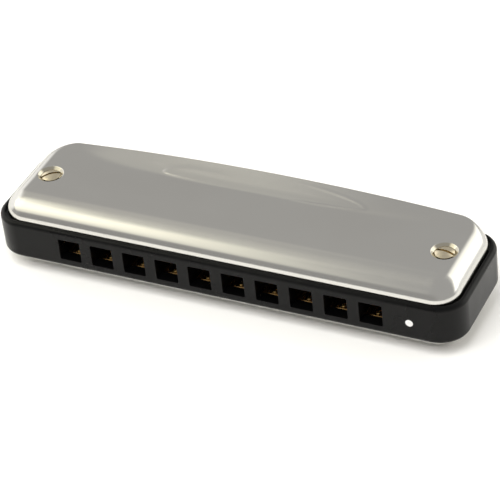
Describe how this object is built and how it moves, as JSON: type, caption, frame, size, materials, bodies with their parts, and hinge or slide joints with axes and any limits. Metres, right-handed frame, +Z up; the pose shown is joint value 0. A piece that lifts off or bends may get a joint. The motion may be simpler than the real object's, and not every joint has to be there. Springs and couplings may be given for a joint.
{
  "type": "harmonica",
  "caption": "Hand-held diatonic harmonica: a black moulded comb with a row of square mouth holes between pressed steel covers that flare open at the rear.",
  "frame": {"origin": "centre of the bounding box's underside", "axes": "+X along the length towards hole 1, the lowest note; -Y is the mouth side; +Z up, towards the draw-side cover"},
  "size_m": [0.1046, 0.027, 0.0194],
  "materials": {
    "black_plastic": "black moulded plastic, fine satin gloss",
    "cover_steel": "polished stainless steel sheet with a faint grain",
    "plate_brass": "plain rolled brass plate",
    "reed_brass": "spring brass strip, filed and bright",
    "rivet_brass": "turned brass, slightly burnished",
    "screw_nickel": "nickel-plated steel screws and nuts, slightly warm"
  },
  "bodies": {
    "harmonica": {"comb": "black_plastic", "blow_reed_plate": "plate_brass", "draw_reed_plate": "plate_brass", "blow_cover": "cover_steel", "draw_cover": "cover_steel", "cover_screw_left": "screw_nickel", "cover_screw_right": "screw_nickel", "cover_nut_left": "screw_nickel", "cover_nut_right": "screw_nickel", "blow_plate_screw_front_left": "screw_nickel", "blow_plate_screw_front_right": "screw_nickel", "blow_plate_screw_rear_left": "screw_nickel", "blow_plate_screw_rear_right": "screw_nickel", "draw_plate_screw_front_left": "screw_nickel", "draw_plate_screw_front_right": "screw_nickel", "draw_plate_screw_rear_left": "screw_nickel", "draw_plate_screw_rear_right": "screw_nickel", "blow_rivet_1": "rivet_brass", "blow_rivet_2": "rivet_brass", "blow_rivet_3": "rivet_brass", "blow_rivet_4": "rivet_brass", "blow_rivet_5": "rivet_brass", "blow_rivet_6": "rivet_brass", "blow_rivet_7": "rivet_brass", "blow_rivet_8": "rivet_brass", "blow_rivet_9": "rivet_brass", "blow_rivet_10": "rivet_brass", "draw_rivet_1": "rivet_brass", "draw_rivet_2": "rivet_brass", "draw_rivet_3": "rivet_brass", "draw_rivet_4": "rivet_brass", "draw_rivet_5": "rivet_brass", "draw_rivet_6": "rivet_brass", "draw_rivet_7": "rivet_brass", "draw_rivet_8": "rivet_brass", "draw_rivet_9": "rivet_brass", "draw_rivet_10": "rivet_brass"},
    "blow_reed_1": {"blow_reed_1": "reed_brass"},
    "blow_reed_2": {"blow_reed_2": "reed_brass"},
    "blow_reed_3": {"blow_reed_3": "reed_brass"},
    "blow_reed_4": {"blow_reed_4": "reed_brass"},
    "blow_reed_5": {"blow_reed_5": "reed_brass"},
    "blow_reed_6": {"blow_reed_6": "reed_brass"},
    "blow_reed_7": {"blow_reed_7": "reed_brass"},
    "blow_reed_8": {"blow_reed_8": "reed_brass"},
    "blow_reed_9": {"blow_reed_9": "reed_brass"},
    "blow_reed_10": {"blow_reed_10": "reed_brass"},
    "draw_reed_1": {"draw_reed_1": "reed_brass"},
    "draw_reed_2": {"draw_reed_2": "reed_brass"},
    "draw_reed_3": {"draw_reed_3": "reed_brass"},
    "draw_reed_4": {"draw_reed_4": "reed_brass"},
    "draw_reed_5": {"draw_reed_5": "reed_brass"},
    "draw_reed_6": {"draw_reed_6": "reed_brass"},
    "draw_reed_7": {"draw_reed_7": "reed_brass"},
    "draw_reed_8": {"draw_reed_8": "reed_brass"},
    "draw_reed_9": {"draw_reed_9": "reed_brass"},
    "draw_reed_10": {"draw_reed_10": "reed_brass"}
  },
  "joints": [
    {"name": "blow_reed_1_swing", "type": "hinge", "parent": "harmonica", "child": "blow_reed_1", "pos_m": [0.03375, -0.0096, 0.00707], "axis": [1, 0, 0], "range_deg": [-4, 4], "stiffness_Nm_per_rad": 0.0512},
    {"name": "blow_reed_2_swing", "type": "hinge", "parent": "harmonica", "child": "blow_reed_2", "pos_m": [0.02625, -0.0096, 0.00707], "axis": [1, 0, 0], "range_deg": [-4, 4], "stiffness_Nm_per_rad": 0.0539},
    {"name": "blow_reed_3_swing", "type": "hinge", "parent": "harmonica", "child": "blow_reed_3", "pos_m": [0.01875, -0.0096, 0.00707], "axis": [1, 0, 0], "range_deg": [-4, 4], "stiffness_Nm_per_rad": 0.0568},
    {"name": "blow_reed_4_swing", "type": "hinge", "parent": "harmonica", "child": "blow_reed_4", "pos_m": [0.01125, -0.0096, 0.00707], "axis": [1, 0, 0], "range_deg": [-4, 4], "stiffness_Nm_per_rad": 0.0602},
    {"name": "blow_reed_5_swing", "type": "hinge", "parent": "harmonica", "child": "blow_reed_5", "pos_m": [0.00375, -0.0096, 0.00707], "axis": [1, 0, 0], "range_deg": [-4, 4], "stiffness_Nm_per_rad": 0.0639},
    {"name": "blow_reed_6_swing", "type": "hinge", "parent": "harmonica", "child": "blow_reed_6", "pos_m": [-0.00375, -0.0096, 0.00707], "axis": [1, 0, 0], "range_deg": [-4, 4], "stiffness_Nm_per_rad": 0.0682},
    {"name": "blow_reed_7_swing", "type": "hinge", "parent": "harmonica", "child": "blow_reed_7", "pos_m": [-0.01125, -0.0096, 0.00707], "axis": [1, 0, 0], "range_deg": [-4, 4], "stiffness_Nm_per_rad": 0.073},
    {"name": "blow_reed_8_swing", "type": "hinge", "parent": "harmonica", "child": "blow_reed_8", "pos_m": [-0.01875, -0.0096, 0.00707], "axis": [1, 0, 0], "range_deg": [-4, 4], "stiffness_Nm_per_rad": 0.0786},
    {"name": "blow_reed_9_swing", "type": "hinge", "parent": "harmonica", "child": "blow_reed_9", "pos_m": [-0.02625, -0.0096, 0.00707], "axis": [1, 0, 0], "range_deg": [-4, 4], "stiffness_Nm_per_rad": 0.0851},
    {"name": "blow_reed_10_swing", "type": "hinge", "parent": "harmonica", "child": "blow_reed_10", "pos_m": [-0.03375, -0.0096, 0.00707], "axis": [1, 0, 0], "range_deg": [-4, 4], "stiffness_Nm_per_rad": 0.0928},
    {"name": "draw_reed_1_swing", "type": "hinge", "parent": "harmonica", "child": "draw_reed_1", "pos_m": [0.03375, 0.00695, 0.01392], "axis": [1, 0, 0], "range_deg": [-4, 4], "stiffness_Nm_per_rad": 0.0512},
    {"name": "draw_reed_2_swing", "type": "hinge", "parent": "harmonica", "child": "draw_reed_2", "pos_m": [0.02625, 0.00623, 0.01392], "axis": [1, 0, 0], "range_deg": [-4, 4], "stiffness_Nm_per_rad": 0.0539},
    {"name": "draw_reed_3_swing", "type": "hinge", "parent": "harmonica", "child": "draw_reed_3", "pos_m": [0.01875, 0.00551, 0.01392], "axis": [1, 0, 0], "range_deg": [-4, 4], "stiffness_Nm_per_rad": 0.0568},
    {"name": "draw_reed_4_swing", "type": "hinge", "parent": "harmonica", "child": "draw_reed_4", "pos_m": [0.01125, 0.00478, 0.01392], "axis": [1, 0, 0], "range_deg": [-4, 4], "stiffness_Nm_per_rad": 0.0602},
    {"name": "draw_reed_5_swing", "type": "hinge", "parent": "harmonica", "child": "draw_reed_5", "pos_m": [0.00375, 0.00406, 0.01392], "axis": [1, 0, 0], "range_deg": [-4, 4], "stiffness_Nm_per_rad": 0.0639},
    {"name": "draw_reed_6_swing", "type": "hinge", "parent": "harmonica", "child": "draw_reed_6", "pos_m": [-0.00375, 0.00334, 0.01392], "axis": [1, 0, 0], "range_deg": [-4, 4], "stiffness_Nm_per_rad": 0.0682},
    {"name": "draw_reed_7_swing", "type": "hinge", "parent": "harmonica", "child": "draw_reed_7", "pos_m": [-0.01125, 0.00262, 0.01392], "axis": [1, 0, 0], "range_deg": [-4, 4], "stiffness_Nm_per_rad": 0.073},
    {"name": "draw_reed_8_swing", "type": "hinge", "parent": "harmonica", "child": "draw_reed_8", "pos_m": [-0.01875, 0.00189, 0.01392], "axis": [1, 0, 0], "range_deg": [-4, 4], "stiffness_Nm_per_rad": 0.0786},
    {"name": "draw_reed_9_swing", "type": "hinge", "parent": "harmonica", "child": "draw_reed_9", "pos_m": [-0.02625, 0.00117, 0.01392], "axis": [1, 0, 0], "range_deg": [-4, 4], "stiffness_Nm_per_rad": 0.0851},
    {"name": "draw_reed_10_swing", "type": "hinge", "parent": "harmonica", "child": "draw_reed_10", "pos_m": [-0.03375, 0.00045, 0.01392], "axis": [1, 0, 0], "range_deg": [-4, 4], "stiffness_Nm_per_rad": 0.0928}
  ]
}
